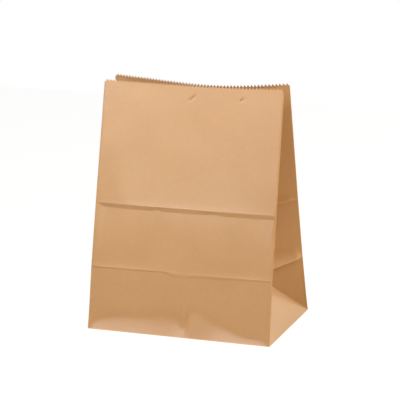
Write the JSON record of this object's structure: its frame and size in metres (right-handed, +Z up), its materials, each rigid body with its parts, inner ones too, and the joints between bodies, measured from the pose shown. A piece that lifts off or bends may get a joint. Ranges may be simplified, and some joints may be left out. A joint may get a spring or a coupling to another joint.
{
  "type": "kraft paper bag",
  "caption": "Block-bottom bread bag folded from one sheet of brown kraft paper, standing open with gusseted sides and a serrated mouth.",
  "frame": {"origin": "under the middle of the bottom, on the surface that the bag stands on", "axes": "+Z up the bag, -Y out of the front wall, +X to the right of someone who looks at the front"},
  "size_m": [0.2106, 0.1404, 0.27],
  "materials": {
    "kraft_paper": "matte unbleached kraft"
  },
  "bodies": {
    "root": {"paper_bag": "kraft_paper"}
  },
  "joints": []
}
